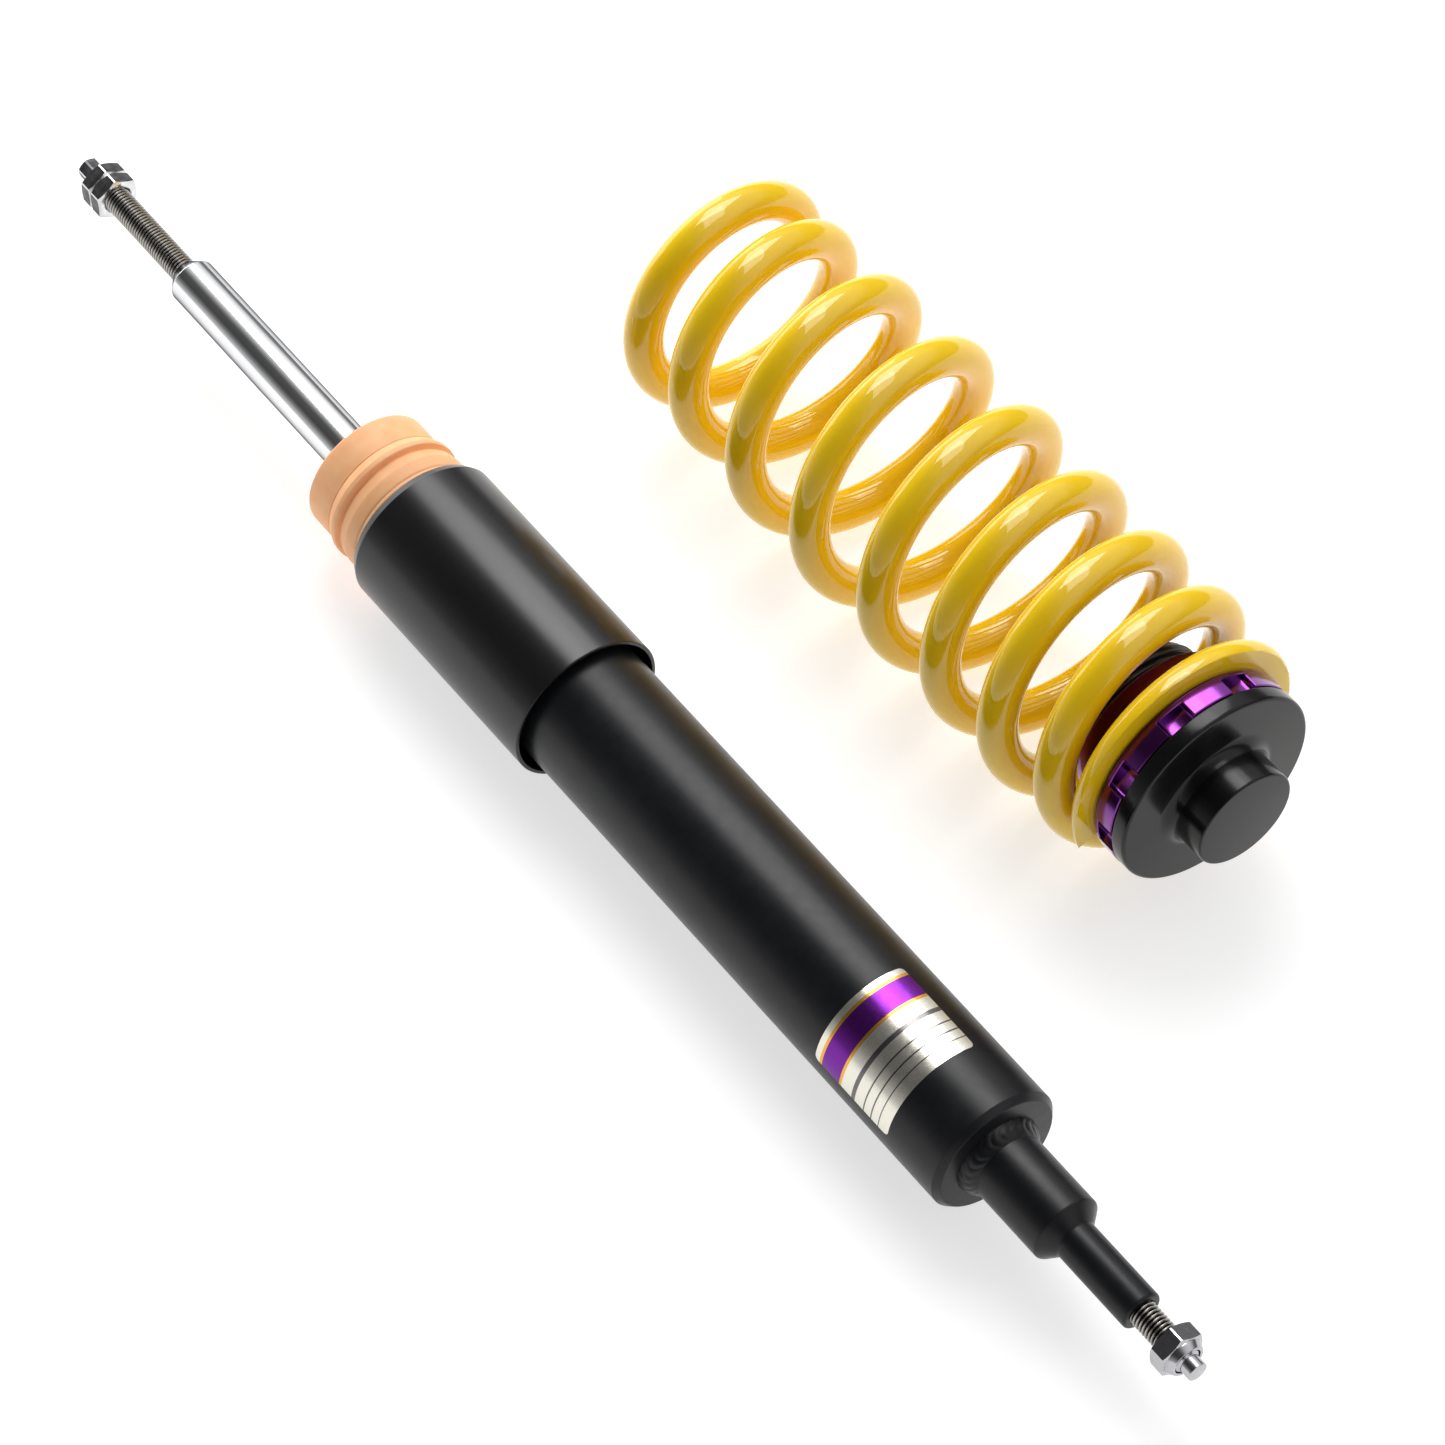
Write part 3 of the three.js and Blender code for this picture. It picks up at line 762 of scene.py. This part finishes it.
def make_spring():
    """The wire along its helix, its ends ground flat where it passes the two seat planes."""
    per_turn, sides = 72, 48
    top, seat = (NOSE_X - coil_box[0].x) / MM, (NOSE_X - coil_box[1].x) / MM
    steps = round(WIRE_TURNS * per_turn)

    def centre(step):
        turn = -CREST_ANGLE / 360 + WIRE_TURNS * step / steps
        d = smooth_value(COIL_PLACE, turn + 1)
        radius = smooth_value(COIL_OUTER_R, turn + 1) - WIRE_R
        return Vector(on_spring(d, radius, math.radians(CREST_ANGLE + 360 * turn)))

    axis = Vector((0, SPRING_Y, SPRING_Z))
    low_x, high_x = NOSE_X - top * MM, NOSE_X - seat * MM
    verts = []
    for i in range(steps + 1):
        here = centre(i)
        along = (centre(i + 0.5) - centre(i - 0.5)).normalized()
        outward = Vector((0, here.y - axis.y, here.z - axis.z))
        outward = (outward - along * outward.dot(along)).normalized()
        across = along.cross(outward)
        for j in range(sides):
            a = TAU * j / sides
            point = here + (outward * math.cos(a) + across * math.sin(a)) * WIRE_R * MM
            point.x = min(high_x, max(low_x, point.x))
            verts.append(tuple(point))
    faces = grid_faces(steps + 1, sides, False, True)
    faces.append(tuple(range(sides)))
    faces.append(tuple(range(steps * sides, (steps + 1) * sides)))
    spring = finish_mesh("coil_spring_wire", verts, faces, 18)
    dress(spring, YELLOW, "spring", "yellow_coat", "coil_spring")
    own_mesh(spring)


def dress_inner_pieces():
    """The pieces inside the tube keep their CAD shapes."""
    makes = {
        MACHINED: ("piston", "rod_guide", "floating_piston"),
        SEAL: ("piston_band", "rod_seal", "floating_seal"),
        BRONZE: ("guide_bushing",),
        PLATED: ("rebound_shims", "compression_shims", "piston_nut", "guide_clip"),
    }
    for material, names in makes.items():
        for name in names:
            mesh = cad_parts[name].data
            mesh.materials.clear()
            mesh.materials.append(material)


# ---------------------------------------------------------------- floor, light, camera
def make_floor():
    """A wide pale floor, just under the wire's lowest point, that glows a little, as lit paper does."""
    size, height = 12, -0.0006
    verts = [(x, y, height) for x, y in ((-size, -size), (size, -size), (size, size), (-size, size))]
    floor = finish_mesh("floor", verts, [(0, 1, 2, 3)])
    material, tree, shader = new_material("floor_paper", Roughness=0.9)
    shader.inputs["Specular IOR Level"].default_value = 0.1
    shader.inputs["Emission Color"].default_value = (1, 1, 1, 1)
    shader.inputs["Emission Strength"].default_value = 0.66
    vary_colour(tree, shader, noise(tree, 3, 2), (0.54, 0.54, 0.54), (0.55, 0.55, 0.55))
    floor.data.materials.append(material)


def make_light(name, place, target, size, power, mirrored=True, shines=True):
    """A rectangular softbox that faces a point. It may only shine, or only be mirrored in gloss."""
    data = bpy.data.lights.new(name, "AREA")
    data.shape = "RECTANGLE"
    data.size, data.size_y = size
    data.energy = power
    light = bpy.data.objects.new(name, data)
    light.location = place
    light.visible_camera = False
    light.visible_glossy = mirrored
    light.visible_diffuse = shines
    light.rotation_mode = "QUATERNION"
    light.rotation_quaternion = (Vector(target) - Vector(place)).to_track_quat("-Z", "Y")
    bpy.context.scene.collection.objects.link(light)


def make_world():
    """A studio tent round the X axis, bright above the +Y side, dark above the -Y side, pale below that."""
    world = bpy.data.worlds.new("studio")
    bpy.context.scene.world = world
    world.use_nodes = True
    tree = world.node_tree
    where = node(tree, "ShaderNodeTexCoord")
    split = node(tree, "ShaderNodeSeparateXYZ")
    tree.links.new(where.outputs["Generated"], split.inputs["Vector"])
    turn = node(tree, "ShaderNodeMath", operation="ARCTAN2")
    tree.links.new(split.outputs["Z"], turn.inputs[0])
    tree.links.new(split.outputs["Y"], turn.inputs[1])
    share = node(tree, "ShaderNodeMath", operation="DIVIDE")
    share.inputs[1].default_value = math.pi
    tree.links.new(turn.outputs["Value"], share.inputs[0])
    # Brightness against the share of the half turn from the +Y horizon, over the top, to the -Y horizon.
    stops = [(0.0, 0.17), (0.095, 0.18), (0.17, 0.75), (0.25, 0.92), (0.37, 0.88), (0.46, 0.62)]
    stops += [(0.56, 0.2), (0.62, 0.07), (0.79, 0.05), (0.87, 0.16), (1.0, 0.55)]
    tent = ramp(tree, share.outputs["Value"], stops)
    tree.links.new(tent, tree.nodes["Background"].inputs["Color"])
    tree.nodes["Background"].inputs["Strength"].default_value = 1.15


def make_camera():
    """A long lens, looking down at the set from beyond its base end."""
    azimuth, elevation = math.radians(53.43), math.radians(52.46)
    distance = 2.165
    target = Vector((TIP_X + 0.3411, DAMPER_Y + 0.0330, DAMPER_Z + 0.0009))
    back = Vector((
        math.sin(azimuth) * math.cos(elevation),
        -math.cos(azimuth) * math.cos(elevation),
        math.sin(elevation),
    ))
    data = bpy.data.cameras.new("camera")
    data.sensor_width = 36
    data.lens = 159.8
    camera = bpy.data.objects.new("camera", data)
    camera.location = target + back * distance
    camera.rotation_mode = "QUATERNION"
    camera.rotation_quaternion = (-back).to_track_quat("-Z", "Y")
    bpy.context.scene.collection.objects.link(camera)
    bpy.context.scene.camera = camera
    data.clip_start, data.clip_end = 0.05, 60


make_rod()
make_top_nuts()
make_bump_stop()
make_sleeve()
make_tube()
make_stem()
make_stud()
make_label()
make_base()
make_collar()
make_spring()
dress_inner_pieces()
make_floor()
make_world()
# One light over the set, a low one beyond the rod's tip with a fill, and a card for the coils' crests.
make_light("overhead_softbox", (-1.17, 0.83, 2.16), (0, 0, 0), (1.6, 1.6), 34)
make_light("low_softbox", (-2.4, 0.1, 0.45), (0, 0, 0.1), (2.0, 0.9), 12)
make_light("low_fill", (-2.4, 0.1, 0.45), (0, 0, 0.1), (2.0, 0.9), 32, mirrored=False)
make_light("crest_card", (-0.2, 0.5, 2.0), (-0.2, 0.5, 0), (1.8, 0.8), 11, shines=False)
make_camera()
bpy.context.scene.view_settings.view_transform = "Standard"
